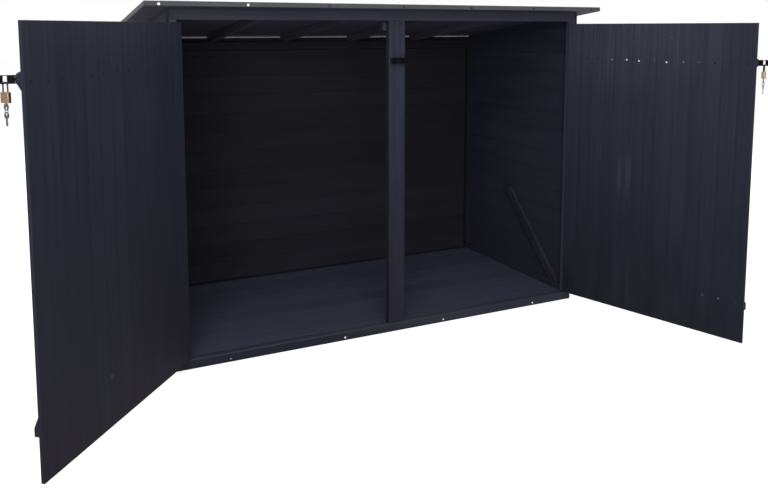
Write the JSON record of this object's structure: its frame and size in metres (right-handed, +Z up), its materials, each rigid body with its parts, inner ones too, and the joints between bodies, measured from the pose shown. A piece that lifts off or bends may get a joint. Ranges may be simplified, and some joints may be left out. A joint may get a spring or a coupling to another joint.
{
  "type": "bicycle shelter",
  "caption": "Low wooden bicycle shelter with a lean-to felt roof, side and back walls of boards, and a pair of ledged board doors on hinges, with hasps and padlocks on a middle post.",
  "frame": {"origin": "on the ground under the middle of the front sill", "axes": "+Z up, the doors face -Y, +X to the right of someone who looks at the doors"},
  "size_m": [2.5487, 1.7134, 1.3195],
  "materials": {
    "frame_wood": "weathered dark stain",
    "door_wood": "weathered dark stain",
    "floor_wood": "worn dark stain",
    "roof_felt": "mineral felt",
    "iron_fittings": "dull black",
    "padlock_brass": "satin",
    "shackle_steel": "polished"
  },
  "bodies": {
    "shelter": {"back_left_post": "frame_wood", "back_rail": "frame_wood", "back_right_post": "frame_wood", "back_sill": "frame_wood", "back_wall": "frame_wood", "centre_post": "frame_wood", "floor": "floor_wood", "floor_bearers": "floor_wood", "front_header": "frame_wood", "front_left_post": "frame_wood", "front_right_post": "frame_wood", "front_sill": "frame_wood", "left_bottom_rail": "frame_wood", "left_brace": "frame_wood", "left_frame_hinge_leaves": "iron_fittings", "left_wall": "frame_wood", "post_cleat": "frame_wood", "rafter_1": "frame_wood", "rafter_2": "frame_wood", "rafter_3": "frame_wood", "rafter_4": "frame_wood", "right_bottom_rail": "frame_wood", "right_brace": "frame_wood", "right_frame_hinge_leaves": "iron_fittings", "right_wall": "frame_wood", "roof_boards": "frame_wood", "roof_felt": "roof_felt", "staple_block": "frame_wood", "staples": "iron_fittings"},
    "left_door": {"left_door_boards": "door_wood", "left_door_hinge_leaves": "iron_fittings", "left_door_lower_ledge": "door_wood", "left_door_upper_ledge": "door_wood", "left_hasp_leaf": "iron_fittings"},
    "right_door": {"right_door_boards": "door_wood", "right_door_hinge_leaves": "iron_fittings", "right_door_lower_ledge": "door_wood", "right_door_upper_ledge": "door_wood", "right_hasp_leaf": "iron_fittings"},
    "left_hasp": {"left_hasp_strap": "iron_fittings", "left_padlock_body": "padlock_brass", "left_padlock_shackle": "shackle_steel"},
    "right_hasp": {"right_hasp_strap": "iron_fittings", "right_padlock_body": "padlock_brass", "right_padlock_shackle": "shackle_steel"}
  },
  "joints": [
    {"name": "left_door_swing", "type": "hinge", "parent": "shelter", "child": "left_door", "pos_m": [-0.8515, -0.024, 0.641], "axis": [0, 0, -1], "range_deg": [-130, 35]},
    {"name": "right_door_swing", "type": "hinge", "parent": "shelter", "child": "right_door", "pos_m": [0.8515, -0.024, 0.641], "axis": [0, 0, 1], "range_deg": [-106, 59]},
    {"name": "left_hasp_swing", "type": "hinge", "parent": "left_door", "child": "left_hasp", "pos_m": [-1.37846, -0.63333, 1.10162], "axis": [0, 0, -1], "range_deg": [0, 85]},
    {"name": "right_hasp_swing", "type": "hinge", "parent": "right_door", "child": "right_hasp", "pos_m": [1.08506, -0.79499, 1.10162], "axis": [0, 0, 1], "range_deg": [0, 85]}
  ]
}
